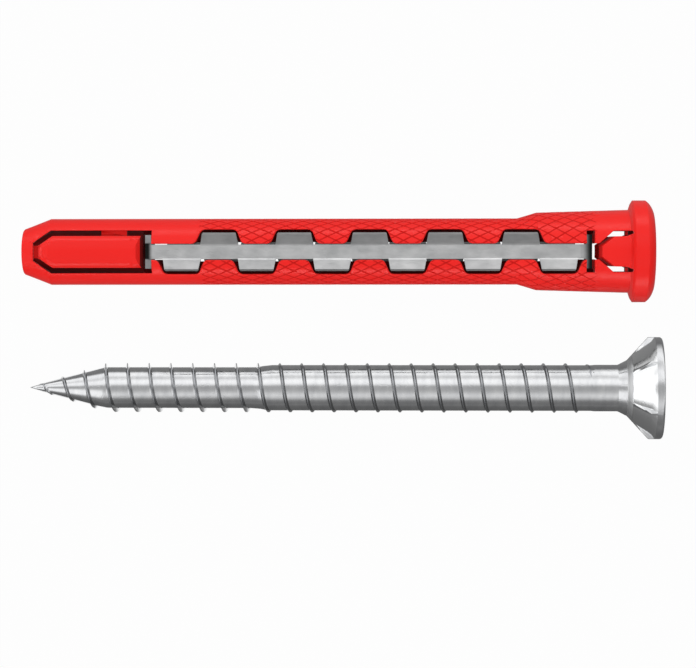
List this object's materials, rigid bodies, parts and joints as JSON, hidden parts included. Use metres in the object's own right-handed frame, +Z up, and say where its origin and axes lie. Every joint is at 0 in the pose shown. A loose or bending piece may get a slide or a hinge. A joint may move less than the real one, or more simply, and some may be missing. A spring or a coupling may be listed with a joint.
{
  "type": "wall plug with screw",
  "caption": "Long nylon frame plug with steel spreading strips in a meander slot, and its countersunk screw lying beside it.",
  "frame": {"origin": "on the floor under the middle of the pair's bounding box", "axes": "+X along both pieces towards the plug's collar and the screw's head, +Y from the screw to the plug, +Z up"},
  "size_m": [0.0806, 0.0299, 0.0128],
  "materials": {
    "red_nylon": "satin moulded nylon",
    "strip_steel": "satin zinc plate",
    "screw_steel": "bright zinc plate"
  },
  "bodies": {
    "root": {"plug_sleeve": "red_nylon", "front_strip": "strip_steel", "back_strip": "strip_steel", "screw": "screw_steel"}
  },
  "joints": []
}
